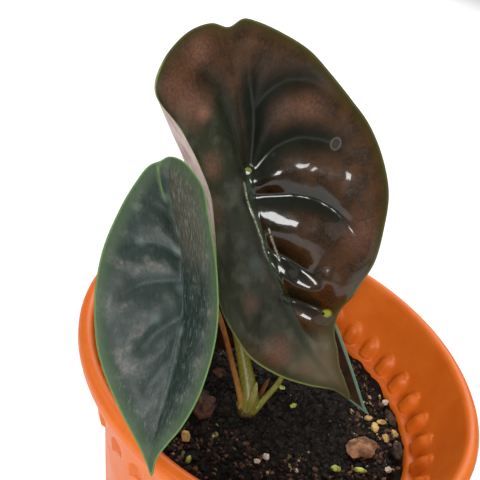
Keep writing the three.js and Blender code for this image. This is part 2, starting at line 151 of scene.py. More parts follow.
# Pinkish patches on the copper blade, partly its own copper tint and partly painted sheen: flat place,
# radius in mm, strength
COPPER_TINT_AND_SHEEN_PATCHES = [
    ((-24, -36), 9, 0.35), ((-17, -28), 9, 0.5), ((-14, -24), 3, 0.8), ((-12, -44), 7, 0.45),
    ((-15.5, -7), 6, 0.5), ((-20, 6), 7, 0.3), ((11, 28), 6, 0.12), ((-15.5, 42), 5, 0.35),
    ((-14.5, 64), 8, 0.55), ((-9, 76), 5, 0.2), ((15, -14), 7, 0.35), ((26, -13), 8, 0.35),
    ((34, 36), 8, 0.35),
]
SMALL = {
    "inset": 0.997, "seed": 2, "dark": 0.9, "groove": 0.9, "rib_height": 0.25, "rib_width": 0.7,
    "lift": 0.7, "bulges": [], "pale_lines": [[(-3, -28), (-3.6, -25), (-3.2, -21), (-1.5, -15)]],
    "at": (-42, -43, 166), "tip": (10, -37, -42), "face": (-0.1, -0.75, 0.62),
    "stations": [
        (-35, -10, -3.6, 6, -5, 25, 35), (-20, -7, -1.2, 7, 3, 42, 52), (0, 0, 0, 8, 10, 50, 66),
        (15, 3.2, -0.2, 8, 8, 50, 64), (30, 3.2, -0.8, 8, 5, 45, 58), (50, 1, -2.1, 6, 0, 35, 40),
        (62, 1, -3.2, 5, -5, 25, 25),
    ],
    "outline": [
        (1.5, 56), (2.2, 51.5), (4.5, 47.5), (8, 42.5), (11.5, 35.5), (14, 28.5), (16, 21.5),
        (17.2, 15.5), (17.8, 9.5), (18, 2), (17.2, -4), (16, -11.5), (14.5, -18.5), (8.5, -25),
        (4, -28.3), (-0.5, -29.5), (-3, -27.7), (-6, -25.8), (-10, -20), (-16, -10.5), (-21, -1),
        (-23.5, 8), (-24, 14), (-22, 24), (-18, 32), (-11, 41), (-3, 50),
    ],
    "midrib": [(0, 0), (0.5, 12), (-0.5, 20), (-0.5, 34), (0.5, 46), (1.5, 54)],
    "veins": [
        ([(0, 0), (0.5, -6), (-0.5, -12), (-2, -20), (-3, -26)], 1.0, 2.2),
        ([(0, -9), (-2.5, -12.5), (-6, -13.5), (-11, -11)], 0.9, 2.2),
        ([(0, -1), (-3.5, -3), (-8, -3.5), (-13, -2), (-19, 2), (-21, 6)], 1.4, 2.4),
        ([(0, 5), (-5, 6), (-9, 7), (-14, 9.5), (-19, 14), (-21, 19)], 1.6, 2.4),
        ([(0, 14), (-3, 16.5), (-7, 20), (-10, 25), (-14, 31)], 1.5, 2.4),
        ([(-0.5, 25), (-4, 30), (-6, 36), (-7, 41)], 1.0, 2.2),
        ([(1, 4), (8, 4.5), (14, 6)], 0.7, 2.0),
        ([(0.5, 13), (5.5, 17), (9.5, 21), (12, 27)], 0.7, 2.0),
        ([(0, -4), (6, -8), (11, -14)], 0.7, 2.0),
    ],
}
# Small painted highlights, pale teal spots on the dusty blade: flat places
PAINTED_HIGHLIGHT_SPOTS = [(0.5, -8), (-1, -3), (-1, 7), (-11, -3.5), (-2, -17), (-11, -13), (-7.5, 16), (0, 18)]
BACK = {
    "inset": 0.997, "seed": 3, "dark": 0.9, "groove": 0.7, "rib_height": 0.1, "rib_width": 0.7,
    "lift": 0.4, "bulges": [], "pale_lines": [],
    "at": (3, 13, 108), "tip": (39, -4, -16.5), "face": (0.06, 0.98, -0.08),
    "stations": [(-35, 0, -3, 6, 0, 6, 0), (0, 0, 0, 6, 6, 6, 6), (44, 0, 0, 6, 0, 6, 0)],
    "outline": [
        (0.3, 44), (1.4, 35.4), (2.6, 27), (5.7, 16.6), (10.2, 4.2), (13.6, -6.5), (16.5, -13.2),
        (22, -15.6), (26.5, -17.5), (28, -21), (26, -25.6), (20.4, -30), (12, -32), (4.7, -30.7),
        (2.5, -27.5), (-2, -26.5), (-9.5, -22.3), (-16, -15.4), (-19.6, -7.2), (-20.2, -0.4),
        (-18.4, 6.7), (-13.8, 16.3), (-7.7, 28.1), (-0.9, 40.8),
    ],
    "midrib": [(0, 0), (0, 12), (0, 24), (0, 36), (0.2, 43)],
    "veins": [
        ([(0, 0), (6, -10), (14, -20), (20, -25)], 0.8, 2.2),
        ([(0, 0), (-3, -10), (-5, -18), (-4, -23)], 0.8, 2.2),
        ([(0, 1), (5, 3), (8, 5)], 0.6, 2.0),
        ([(0, 1), (-7, -1), (-13, -2), (-17, 0)], 0.7, 2.0),
        ([(0, 10), (-6, 10), (-11, 12)], 0.7, 2.0),
        ([(0, 20), (-4, 21), (-8, 25)], 0.6, 1.8),
    ],
}

# Stalks and sheaths: points from the crown up, and the radius at foot and top
CROWN_TOP = 94.2
STALK_BIG = ([(-5.6, -11.2, 92.6), (-5.6, -11.2, 94.5), (-9.1, -7.2, 101), (-18.9, 2.4, 113.8),
              (-27.5, 9.9, 124.5), (-33, 17, 134), (-36, 22, 149)], 2.0, 1.4)
STALK_SMALL = ([(-8.0, -13.4, 92.8), (-8.3, -13.4, 94.5), (-11.9, -12, 101), (-16.4, -12.3, 109.5),
                (-20.8, -14.2, 119.3), (-26.7, -18.7, 132.9), (-32.9, -26.4, 147.2),
                (-38, -34.6, 158)], 0.85, 0.8)
STALK_BACK = ([(-3.0, -12.7, 92.8), (-2.4, -12.7, 94.5), (-0.5, -9.5, 97.5), (2.6, -3.5, 102),
               (3.6, 4, 105.5)], 1.1, 0.9)


def linear(colour):
    """An sRGB hex colour as linear red, green, blue and alpha."""
    channels = [int(colour[i:i + 2], 16) / 255 for i in (1, 3, 5)]
    return [c / 12.92 if c <= 0.04045 else ((c + 0.055) / 1.055) ** 2.4 for c in channels] + [1.0]


def unit(vector):
    return np.array(vector, float) / np.linalg.norm(vector)


def smoothstep(low, high, x):
    t = np.clip((x - low) / (high - low), 0, 1)
    return t * t * (3 - 2 * t)


def new_object(name, data):
    made = bpy.data.objects.new(name, data)
    bpy.context.scene.collection.objects.link(made)
    return made


# Camera, floor and light

def make_camera():
    camera = new_object("camera", bpy.data.cameras.new("camera"))
    camera.data.lens = LENS
    camera.data.sensor_width = SENSOR
    camera.data.clip_start = 10 * MM
    columns = [Vector(CAMERA_RIGHT), Vector(CAMERA_UP), Vector(CAMERA_BACK)]
    turn = Matrix(columns).transposed().to_quaternion()
    camera.matrix_world = Matrix.Translation(Vector(CAMERA_AT) * MM) @ turn.to_matrix().to_4x4()
    bpy.context.scene.camera = camera


def make_light(name, place, aim, size, power):
    """A rectangular soft light that looks from place at aim. All is in metres and watts."""
    light = new_object(name, bpy.data.lights.new(name, "AREA"))
    light.data.shape = "RECTANGLE"
    light.data.size, light.data.size_y = size
    light.data.energy = power
    light.location = place
    light.rotation_euler = (Vector(aim) - Vector(place)).to_track_quat("-Z", "Y").to_euler()


def make_studio():
    world = bpy.data.worlds.new("studio")
    world.use_nodes = True
    sky = world.node_tree.nodes["Background"].inputs
    sky["Color"].default_value = linear("#fdfdfe")
    sky["Strength"].default_value = 0.24
    bpy.context.scene.world = world
    bpy.context.scene.view_settings.view_transform = "Standard"
    rim = (0.0, 0.0, 0.12)
    make_light("window", (-0.09, -1.08, 0.76), (-0.02, 0.0, 0.15), (0.55, 0.34), 11)
    make_light("left_fill", (-0.85, -0.15, 1.35), rim, (0.9, 0.9), 6)
    make_light("right_panel", (1.35, -0.45, 0.8), rim, (1.9, 1.5), 4.5)
    make_light("floor_light", (0.1, 1.5, 1.5), (0.0, 0.5, 0.0), (1.8, 1.3), 36)

    ground = bpy.data.meshes.new("floor")
    half = 3.0
    ground.from_pydata([(-half, -half, 0), (half, -half, 0), (half, half, 0), (-half, half, 0)], [],
                       [(0, 1, 2, 3)])
    floor = new_object("floor", ground)
    floor.data.materials.append(start_material("painted_studio_floor", "#ffffff", roughness=0.9).made)


# Material tools

def add(tree, kind, settings, inputs):
    """Adds a node with its properties. An input is a value or another node's socket."""
    made = tree.nodes.new(kind)
    for name, value in settings.items():
        setattr(made, name, value)
    for name, value in inputs.items():
        if isinstance(value, bpy.types.NodeSocket):
            tree.links.new(value, made.inputs[name])
        else:
            made.inputs[name].default_value = value
    return made


Skin = namedtuple("Skin", "made tree shader place unit")


def start_material(name, colour, roughness, flat=False, **more):
    """A new material with its shader, whose values go by their socket's name. Its pattern follows
    the piece's flat map, where a unit is 100 mm, or the object's metres."""
    made = bpy.data.materials.new(name)
    made.use_nodes = True
    made.diffuse_color = linear(colour)
    tree = made.node_tree
    tree.nodes.clear()
    values = {"Base Color": linear(colour), "Roughness": roughness}
    values.update({key.replace("_", " "): value for key, value in more.items()})
    shader = add(tree, "ShaderNodeBsdfPrincipled", {}, values)
    add(tree, "ShaderNodeOutputMaterial", {}, {"Surface": shader.outputs[0]})
    if flat:
        place = add(tree, "ShaderNodeUVMap", {"uv_map": "flat"}, {}).outputs[0]
    else:
        place = add(tree, "ShaderNodeTexCoord", {}, {}).outputs["Object"]
    return Skin(made, tree, shader, place, 100 if flat else 1000)


def grain(skin, size, detail=3.0, rough=0.55, stretch=(1, 1, 1)):
    """Noise whose features are about size millimetres."""
    mapped = add(skin.tree, "ShaderNodeMapping", {}, {"Vector": skin.place, "Scale": stretch})
    noisy = add(skin.tree, "ShaderNodeTexNoise", {}, {
        "Vector": mapped.outputs[0], "Scale": skin.unit / size, "Detail": detail, "Roughness": rough})
    return noisy.outputs["Fac"]


def spot(skin, centre, reach, soft, strength=1.0):
    """How much shows of a round spot on the flat map, of reach mm, that fades over soft mm."""
    away = add(skin.tree, "ShaderNodeVectorMath", {"operation": "DISTANCE"}, {
        0: skin.place, 1: (centre[0] / skin.unit, centre[1] / skin.unit, 0)}).outputs["Value"]
    return share_of(skin, away, reach / skin.unit, (reach + soft) / skin.unit, strength, 0.0)


def share_of(skin, source, low=None, high=None, start=0.0, end=1.0):
    """How much of a layer shows: a mesh attribute by name, or a value, as it is, or taken
    smoothly from low..high to start..end and held there outside."""
    if isinstance(source, str):
        source = add(skin.tree, "ShaderNodeAttribute", {"attribute_name": source}, {}).outputs["Fac"]
    if low is None:
        return source
    return add(skin.tree, "ShaderNodeMapRange", {"interpolation_type": "SMOOTHSTEP"}, {
        "Value": source, "From Min": low, "From Max": high, "To Min": start, "To Max": end}).outputs[0]


def paint(skin, colour, *layers):
    """Lays colours over the first. A layer is a colour and the shares, multiplied, that show it.
    A colour is a hex string or a socket."""
    for over, share, *others in layers:
        for other in others:
            share = add(skin.tree, "ShaderNodeMath", {"operation": "MULTIPLY"},
                        {0: share, 1: other}).outputs[0]
        low, high = [linear(c) if isinstance(c, str) else c for c in (colour, over)]
        colour = add(skin.tree, "ShaderNodeMix", {"data_type": "RGBA"},
                     {0: share, 6: low, 7: high}).outputs[2]
    return colour


def end_material(skin, height, depth, strength, **links):
    """Links sockets to the shader by name, and adds surface relief of about depth millimetres."""
    relief = add(skin.tree, "ShaderNodeBump", {}, {
        "Height": height, "Distance": depth * MM, "Strength": strength})
    links["Normal"] = relief.outputs[0]
    for name, socket in links.items():
        skin.tree.links.new(socket, skin.shader.inputs[name.replace("_", " ")])
    return skin.made


# Mesh tools

def new_mesh(name, points, faces, uv=None, attributes=None):
    """A mesh object from points in millimetres, with smooth faces, a flat map and attributes."""
    mesh = bpy.data.meshes.new(name)
    mesh.from_pydata((np.asarray(points) * MM).tolist(), [], faces)
    mesh.shade_smooth()
    if uv is not None:
        layer = mesh.uv_layers.new(name="flat")
        corners = np.zeros(len(mesh.loops), np.int32)
        mesh.loops.foreach_get("vertex_index", corners)
        layer.data.foreach_set("uv", np.asarray(uv, np.float32)[corners].ravel())
    for key, values in (attributes or {}).items():
        mesh.attributes.new(key, "FLOAT", "POINT").data.foreach_set("value", values.astype(np.float32))
    return new_object(name, mesh)


def ring_faces(first, second, count):
    """Four-sided faces between two closed rings that start at the points first and second."""
    return [(first + i, first + (i + 1) % count, second + (i + 1) % count, second + i)
            for i in range(count)]


def smooth_curve(points, count, closed=False):
    """Evenly spaced points on a smooth curve through the points."""
    points = np.array(points, float)
    if closed:
        around = np.vstack([points[-1], points, points[0], points[1]])
    else:
        around = np.vstack([2 * points[0] - points[1], points, 2 * points[-1] - points[-2]])
    t = np.linspace(0, 1, 24, endpoint=False)[:, None]
    pieces = []
    for p0, p1, p2, p3 in zip(around, around[1:], around[2:], around[3:]):
        d0, d1, d2 = (math.sqrt(max(np.linalg.norm(b - a), 1e-6))
                      for a, b in ((p0, p1), (p1, p2), (p2, p3)))
        m1 = ((p1 - p0) / d0 - (p2 - p0) / (d0 + d1) + (p2 - p1) / d1) * d1
        m2 = ((p2 - p1) / d1 - (p3 - p1) / (d1 + d2) + (p3 - p2) / d2) * d1
        pieces.append(p1 + m1 * t + (3 * (p2 - p1) - 2 * m1 - m2) * t ** 2
                      + (2 * (p1 - p2) + m1 + m2) * t ** 3)
    line = np.vstack(pieces + [around[-2][None]])
    run = np.concatenate([[0], np.cumsum(np.linalg.norm(np.diff(line, axis=0), axis=1))])
    at = np.linspace(0, run[-1], count, endpoint=not closed)
    return np.stack([np.interp(at, run, line[:, k]) for k in range(line.shape[1])], axis=1)


def distance_to(points, line):
    """Distance from flat points to a flat line, and how far along the line the nearest place is."""
    best = np.full(len(points), 1e9)
    share = np.zeros(len(points))
    last = len(line) - 1
    for i, (a, b) in enumerate(zip(line, line[1:])):
        way = b - a
        t = np.clip(((points - a) @ way) / max(way @ way, 1e-9), 0, 1)
        d = np.hypot(*(points - a - t[:, None] * way).T)
        nearer = d < best
        best[nearer] = d[nearer]
        share[nearer] = (i + t[nearer]) / last
    return best, share


def finish_piece(piece, material, slot, *nodes):
    """Gives the piece its material, and lets it ride and stand for CAD nodes. The slot is not used."""
    if material is not None:
        piece.data.materials.clear()
        piece.data.materials.append(material)
    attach(piece, "root")
    if nodes:
        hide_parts(*nodes)
    return piece


def plain_mesh(source, name):
    """The evaluated source as a plain mesh object. The source and its modifiers are removed."""
    depsgraph = bpy.context.evaluated_depsgraph_get()
    mesh = bpy.data.meshes.new_from_object(source.evaluated_get(depsgraph))
    mesh.name = name
    bpy.data.objects.remove(source)
    return new_object(name, mesh)


def new_tree(name, inputs):
    """An empty Geometry Nodes tree with a mesh in and out, and named inputs of these kinds."""
    tree = bpy.data.node_groups.new(name, "GeometryNodeTree")
    tree.interface.new_socket("Geometry", in_out="INPUT", socket_type="NodeSocketGeometry")
    tree.interface.new_socket("Geometry", in_out="OUTPUT", socket_type="NodeSocketGeometry")
    for label, kind in inputs.items():
        tree.interface.new_socket(label, in_out="INPUT", socket_type="NodeSocket" + kind)
    return tree, tree.nodes.new("NodeGroupInput"), tree.nodes.new("NodeGroupOutput")


def end_tree(tree, start, end, geometry):
    """Realizes the geometry, gives it the tree's finish and links it out."""
    solid = add(tree, "GeometryNodeRealizeInstances", {}, {0: geometry})
    painted = add(tree, "GeometryNodeSetMaterial", {}, {
        0: solid.outputs[0], "Material": start.outputs["Finish"]})
    tree.links.new(painted.outputs[0], end.inputs[0])
    return tree


def run_tree(source, tree, name, **values):
    """Runs a tree on the source with inputs by label, and returns the plain mesh object."""
    modifier = source.modifiers.new(tree.name, "NODES")
    modifier.node_group = tree
    labels = {item.name.replace(" ", "_"): item.identifier for item in tree.interface.items_tree
              if item.in_out == "INPUT"}
    for label, value in values.items():
        modifier[labels[label]] = value
    return plain_mesh(source, name)


# Pot

def fine_section(points):
    """The section with rows of ROW_STEP in the flute band, and far apart elsewhere."""
    rows = []
    for (r0, z0), (r1, z1) in zip(points, points[1:]):
        in_band = max(z0, z1) > FLUTE_LOW - 0.5 and min(z0, z1) < FLUTE_HIGH + 1
        count = max(1, math.ceil(math.dist((r0, z0), (r1, z1)) / (ROW_STEP if in_band else 20)))
        rows += [(r0 + (r1 - r0) * i / count, z0 + (z1 - z0) * i / count) for i in range(count)]
    return rows + [points[-1]]


def pot_without_flutes():
    """The plain turned pot with its floor and drain holes, and which side each point is on."""
    outside = fine_section(POT_OUTSIDE)
    section = outside + fine_section(POT_INSIDE)
    count = FLUTES * FLUTE_STEPS
    angle = np.arange(count) * 2 * math.pi / count
    points = [np.stack([r * np.cos(angle), r * np.sin(angle), np.full(count, z)], 1)
              for r, z in section]
    faces = []
    for row in range(len(section) - 1):
        faces += ring_faces(row * count, (row + 1) * count, count)
    total = len(section) * count
    hole_steps = 24
    hole = np.arange(hole_steps) * 2 * math.pi / hole_steps
    starts = {}
    for height in (0.0, FLOOR_Z):
        starts[height] = []
        for k in range(DRAIN_HOLES):
            a = math.radians(DRAIN_PHASE + k * 360 / DRAIN_HOLES)
            starts[height].append(total)
            points.append(np.stack([DRAIN_RING * math.cos(a) + DRAIN_R * np.cos(hole),
                                    DRAIN_RING * math.sin(a) + DRAIN_R * np.sin(hole),
                                    np.full(hole_steps, height)], 1))
            total += hole_steps
    points = np.vstack(points)
    for first, height in ((0, 0.0), ((len(section) - 1) * count, FLOOR_Z)):
        loops = [list(range(first, first + count))]
        loops += [list(range(s, s + hole_steps)) for s in starts[height]]
        order = [i for loop in loops for i in loop]
        for triangle in geometry.tessellate_polygon([[Vector(points[i]) for i in loop] for loop in loops]):
            faces.append(tuple(order[i] for i in triangle))
    for low, high in zip(starts[0.0], starts[FLOOR_Z]):
        faces += ring_faces(low, high, hole_steps)
    inner = np.zeros(len(points))
    inner[len(outside) * count:len(section) * count] = 1
    return points, faces, inner


def flute_tree():
    """Pushes the band in at each flute: square recesses outside, round-topped bumps inside."""
    tree, start, end = new_tree("flute_band", {
        "Flutes": "Float", "Phase": "Float", "Depth": "Float", "Low": "Float", "High": "Float",
        "Finish": "Material"})
    place = add(tree, "GeometryNodeInputPosition", {}, {}).outputs[0]
    value = dict(start.outputs.items())
    value["x"], value["y"], value["z"] = add(tree, "ShaderNodeSeparateXYZ", {}, {0: place}).outputs
    # A step is its result's name, the operation and what it works on
    steps = [
        ("angle", "ARCTAN2", "y", "x"), ("turn", "SUBTRACT", "angle", "Phase"),
        ("rate", "DIVIDE", "Flutes", 2 * math.pi), ("pitch", "MULTIPLY", "turn", "rate"),
        ("whole", "ROUND", "pitch"), ("part", "SUBTRACT", "pitch", "whole"), ("off", "ABSOLUTE", "part"),
        ("above_low", "SUBTRACT", "z", "Low"), ("below_high", "SUBTRACT", "High", "z"),
    ]
    # Each side's shape: half width as a share of the pitch, height of its round top, where its
    # wall starts and ends, where its foot starts and ends, and its share of the depth
    for side, width, height, hard, soft, foot, full, depth in (
            ("recess", 0.26, 3.5, 1.0, 0.84, -0.3, 1.2, 0.8),
            ("bump", 0.38, 5.6, 1.0, 0.3, 0.6, 3.0, 1.0)):
        steps += [
            ("across", "DIVIDE", "off", width), ("across", "POWER", "across", 2.0),
            ("rise", "SUBTRACT", height * MM, "below_high"), ("rise", "MAXIMUM", "rise", 0.0),
            ("up", "DIVIDE", "rise", height * MM), ("up", "POWER", "up", 2.0),
            ("away", "ADD", "across", "up"), ("away", "SQRT", "away"), ("dome", "RAMP", "away", hard, soft),
            ("foot", "RAMP", "above_low", foot * MM, full * MM), (side, "MULTIPLY", "dome", "foot"),
            (side, "MULTIPLY", side, depth),
        ]
    for name, operation, *inputs in steps:
        inputs = [value.get(x, x) for x in inputs]
        if operation == "RAMP":
            made = add(tree, "ShaderNodeMapRange", {"interpolation_type": "SMOOTHSTEP"},
                       dict(zip(("Value", "From Min", "From Max"), inputs)))
        else:
            made = add(tree, "ShaderNodeMath", {"operation": operation}, dict(enumerate(inputs)))
        value[name] = made.outputs[0]
    inner = add(tree, "GeometryNodeInputNamedAttribute", {"data_type": "FLOAT"}, {"Name": "inner"})
    share = add(tree, "ShaderNodeMix", {"data_type": "FLOAT"},
                {0: inner.outputs[0], 2: value["recess"], 3: value["bump"]})
    depth = add(tree, "ShaderNodeMath", {"operation": "MULTIPLY"},
                {0: share.outputs[0], 1: value["Depth"]})
    flat = add(tree, "ShaderNodeVectorMath", {"operation": "MULTIPLY"}, {0: place, 1: (-1, -1, 0)})
    inward = add(tree, "ShaderNodeVectorMath", {"operation": "NORMALIZE"}, {0: flat.outputs[0]})
    push = add(tree, "ShaderNodeVectorMath", {"operation": "SCALE"},
               {0: inward.outputs[0], "Scale": depth.outputs[0]})
    moved = add(tree, "GeometryNodeSetPosition", {}, {
        "Geometry": value["Geometry"], "Offset": push.outputs[0]})
    return end_tree(tree, start, end, moved.outputs[0])


def pot_plastic():
    """Injection-moulded polypropylene: a satin orange skin, faintly mottled, that glows a little."""
    skin = start_material("moulded_polypropylene", "#e56c26", roughness=0.42, IOR=1.49,
                          Subsurface_Weight=0.08, Subsurface_Scale=3 * MM, Specular_IOR_Level=0.3)
    mottle = grain(skin, 14.0, detail=4)
    specks = grain(skin, 1.2, detail=2)
    colour = paint(skin, "#cf6116", ("#d76b1c", share_of(skin, mottle, 0.3, 0.7)),
                   ("#c05418", share_of(skin, specks, 0.62, 0.75, 0.0, 0.35)))
    return end_material(skin, grain(skin, 0.9, detail=2), 0.03, 0.6, Base_Color=colour,
                        Roughness=share_of(skin, mottle, 0.3, 0.7, 0.36, 0.50))


def make_pot():
    points, faces, inner = pot_without_flutes()
    blank = new_mesh("pot_blank", points, faces, attributes={"inner": inner})
    pot = run_tree(blank, flute_tree(), "moulded_pot", Flutes=float(FLUTES),
                   Phase=math.radians(FLUTE_PHASE), Depth=FLUTE_DEPTH * MM,
                   Low=FLUTE_LOW * MM, High=FLUTE_HIGH * MM, Finish=pot_plastic())
    turn_outward(pot)
    finish_piece(pot, None, "pot", "pot")


def turn_outward(piece):
    """Merges the piece's doubles and turns its faces outward."""
    shape = bmesh.new()
    shape.from_mesh(piece.data)
    bmesh.ops.remove_doubles(shape, verts=shape.verts, dist=0.001 * MM)
    bmesh.ops.recalc_face_normals(shape, faces=shape.faces)
    shape.to_mesh(piece.data)
    shape.free()
    piece.data.shade_smooth()


# Soil

def soil_height(x, y):
    """Height of the soil: a low mound with waves and crumbs on it."""
    edge = min(1.0, math.hypot(x, y) / SOIL_EDGE_R)
    waves = 0.7 * math.sin(x / 7 + 1) * math.cos(y / 9) + 0.5 * math.sin(x / 8 - y / 6 + 2)
    crumbs = 1.7 * noise.fractal(Vector((x, y, 0)) / 9.0, 0.75, 2.1, 6)
    return SOIL_EDGE_Z + SOIL_MOUND * (1 - edge ** 3) + waves * (1 - edge ** 6) + crumbs - 0.3


def make_soil():
    sides, rings = 300, 84
    angle = np.arange(sides) * 2 * math.pi / sides
    points = [(0, 0, SOIL_FOOT_Z)]
    faces = [(0, 1 + (i + 1) % sides, 1 + i) for i in range(sides)]
    for share in (0.0, 0.33, 0.66):
        r = SOIL_FOOT_R + (SOIL_EDGE_R - SOIL_FOOT_R) * share
        z = SOIL_FOOT_Z + (SOIL_EDGE_Z - SOIL_FOOT_Z) * share
        points += [(r * math.cos(a), r * math.sin(a), z) for a in angle]
    for ring in range(rings):
        r = SOIL_EDGE_R * (1 - ring / rings)
        points += [(r * math.cos(a), r * math.sin(a), soil_height(r * math.cos(a), r * math.sin(a)))
                   for a in angle]
    for row in range(rings + 2):
        faces += ring_faces(1 + row * sides, 1 + (row + 1) * sides, sides)
    top = len(points)
    points.append((0, 0, soil_height(0, 0)))
    last = top - sides
    faces += [(last + i, last + (i + 1) % sides, top) for i in range(sides)]
    soil = new_mesh("potting_mix", points, faces)
    turn_outward(soil)
    finish_piece(soil, potting_mix(), "soil", "soil")


def potting_mix():
    """Damp peat and coir: near black, with browner crumbs, a hint of moss and small wet glints."""
    skin = start_material("damp_peat_and_coir", "#14100c", roughness=0.8, Specular_IOR_Level=0.2)
    fibres = grain(skin, 0.8, detail=4, rough=0.75)
    colour = paint(skin, "#040403",
                   ("#15100b", share_of(skin, grain(skin, 9.0, detail=5, rough=0.7), 0.42, 0.66)),
                   ("#2b2018", share_of(skin, fibres, 0.6, 0.75)),
                   ("#1b2415", share_of(skin, grain(skin, 16.0), 0.55, 0.7, 0.0, 0.6)))
    return end_material(skin, fibres, 0.5, 0.9, Base_Color=colour,
                        Roughness=share_of(skin, fibres, 0.35, 0.65, 0.45, 0.95))


def crumb_material(name, dark, light, size, roughness=0.8):
    """Small loose bits of one substance: two shades in grains of size millimetres."""
    skin = start_material(name, light, roughness=roughness, Specular_IOR_Level=0.3)
    colour = paint(skin, dark, (light, share_of(skin, grain(skin, size), 0.35, 0.65)))
    return end_material(skin, grain(skin, size / 4, detail=2), 0.15, 0.8, Base_Color=colour)


def scatter_tree():
    """Strews bits over a surface: twenty-sided grains, stretched, turned and roughened at random."""
    tree, start, end = new_tree("strew_bits", {
        "Density": "Float", "Smallest": "Vector", "Largest": "Vector", "Tilt": "Float",
        "Roughen": "Float", "Seed": "Int", "Finish": "Material"})
    value = start.outputs
    spread = add(tree, "GeometryNodeDistributePointsOnFaces", {}, {
        "Mesh": value["Geometry"], "Density": value["Density"], "Seed": value["Seed"]})
    ball = add(tree, "GeometryNodeMeshIcoSphere", {}, {"Radius": 0.5, "Subdivisions": 1})
    tilt = value["Tilt"]
    back = add(tree, "ShaderNodeMath", {"operation": "MULTIPLY"}, {0: tilt, 1: -1.0}).outputs[0]
    low = add(tree, "ShaderNodeCombineXYZ", {}, {0: back, 1: back, 2: 0.0}).outputs[0]
    high = add(tree, "ShaderNodeCombineXYZ", {}, {0: tilt, 1: tilt, 2: 2 * math.pi}).outputs[0]
    turn = add(tree, "FunctionNodeRandomValue", {"data_type": "FLOAT_VECTOR"},
               {0: low, 1: high, "Seed": value["Seed"]})
    size = add(tree, "FunctionNodeRandomValue", {"data_type": "FLOAT_VECTOR"},
               {0: value["Smallest"], 1: value["Largest"], "Seed": 7})
    placed = add(tree, "GeometryNodeInstanceOnPoints", {}, {
        "Points": spread.outputs["Points"], "Instance": ball.outputs["Mesh"],
        "Rotation": turn.outputs[0], "Scale": size.outputs[0]})
    solid = add(tree, "GeometryNodeRealizeInstances", {}, {0: placed.outputs[0]})
    place = add(tree, "GeometryNodeInputPosition", {}, {}).outputs[0]
    wobble = add(tree, "ShaderNodeTexNoise", {}, {"Vector": place, "Scale": 700.0, "Detail": 1.0})
    middle = add(tree, "ShaderNodeVectorMath", {"operation": "SUBTRACT"},
                 {0: wobble.outputs["Color"], 1: (0.5, 0.5, 0.5)})
    push = add(tree, "ShaderNodeVectorMath", {"operation": "SCALE"},
               {0: middle.outputs[0], "Scale": value["Roughen"]})
    moved = add(tree, "GeometryNodeSetPosition", {}, {
        "Geometry": solid.outputs[0], "Offset": push.outputs[0]})
    return end_tree(tree, start, end, moved.outputs[0])


def soil_patch(name, reach, region):
    """The soil's top surface out to reach millimetres where the region is true, to strew bits on."""
    step = 2.0
    line = np.arange(-reach, reach + step, step)
    steps = len(line)
    points = [(x, y, soil_height(x, y)) for y in line for x in line]
    faces = []
    for j in range(steps - 1):
        for i in range(steps - 1):
            x, y = line[i] + step / 2, line[j] + step / 2
            off_crown = math.dist((x, y), CROWN_AT) > CROWN_CLEAR
            if math.hypot(x, y) < reach and off_crown and region(x, y):
                a = j * steps + i
                faces.append((a, a + 1, a + 1 + steps, a + steps))
    return new_mesh(name, points, faces)


def everywhere(x, y):
    return True


def toward_front(x, y):
    """Where pale and brown bits lie thick: the front of the pot and its right side."""
    wave = 7 * noise.noise(Vector((x, y, 3)) / 14)
    return y < -24 + wave or x > 34 + wave


def make_soil_bits():
    dark = crumb_material("peat_crumbs", "#040403", "#221912", 2.5)
    brown = crumb_material("coir_and_bark_crumbs", "#382317", "#6d4b3b", 1.5)
    tan = crumb_material("pale_bark_flecks", "#7a5c3c", "#b89a70", 1.2)
    white = crumb_material("perlite_dust", "#a89c8a", "#dcd3c4", 0.8)
    moss = crumb_material("moss_tufts", "#39401a", "#8f9440", 1.5)
    fibre = crumb_material("coir_fibre", "#1b120c", "#4c3826", 3.0, 0.6)
    tree = scatter_tree()
    # name, finish, place, number per square metre, smallest and largest size in mm along the
    # bit's three axes, tilt in radians, roughening in mm, seed
    bits = [
        ("soil_crumbs", dark, everywhere, 150000, (1.4, 1.4, 1.0), (4.2, 4.2, 2.8), 3.0, 1.6, 11),
        ("soil_fines", dark, everywhere, 380000, (0.5, 0.5, 0.4), (1.4, 1.4, 1.1), 3.0, 0.5, 12),
        ("bark_crumbs", brown, everywhere, 14000, (0.8, 0.6, 0.5), (3.0, 1.9, 1.3), 0.6, 0.8, 13),
        ("front_crumbs", brown, toward_front, 150000, (0.8, 0.6, 0.5), (3.6, 2.6, 1.8), 0.8, 0.8, 21),
        ("pale_flecks", tan, everywhere, 3000, (0.5, 0.4, 0.3), (1.9, 1.0, 0.7), 0.5, 0.5, 14),
        ("front_flecks", tan, toward_front, 18000, (0.6, 0.5, 0.4), (3.4, 2.4, 1.5), 0.6, 0.6, 22),
        ("perlite_flecks", white, toward_front, 6000, (0.6, 0.6, 0.6), (2.6, 2.2, 1.8), 3.0, 0.5, 15),
        ("moss_tufts", moss, toward_front, 14000, (0.8, 0.6, 0.5), (3.6, 2.4, 1.6), 0.6, 0.6, 23),
        ("coir_fibres", fibre, everywhere, 20000, (3.0, 0.16, 0.16), (8.0, 0.3, 0.28), 0.35, 1.6, 16),
    ]
    for name, finish, region, density, smallest, largest, tilt, roughen, seed in bits:
        patch = soil_patch(name + "_ground", BITS_R - max(largest) / 3, region)
        piece = run_tree(patch, tree, name, Density=float(density),
                         Smallest=[s * MM for s in smallest], Largest=[s * MM for s in largest],
                         Tilt=tilt, Roughen=roughen * MM, Seed=seed, Finish=finish)
        finish_piece(piece, None, "soil")


# Loose pieces

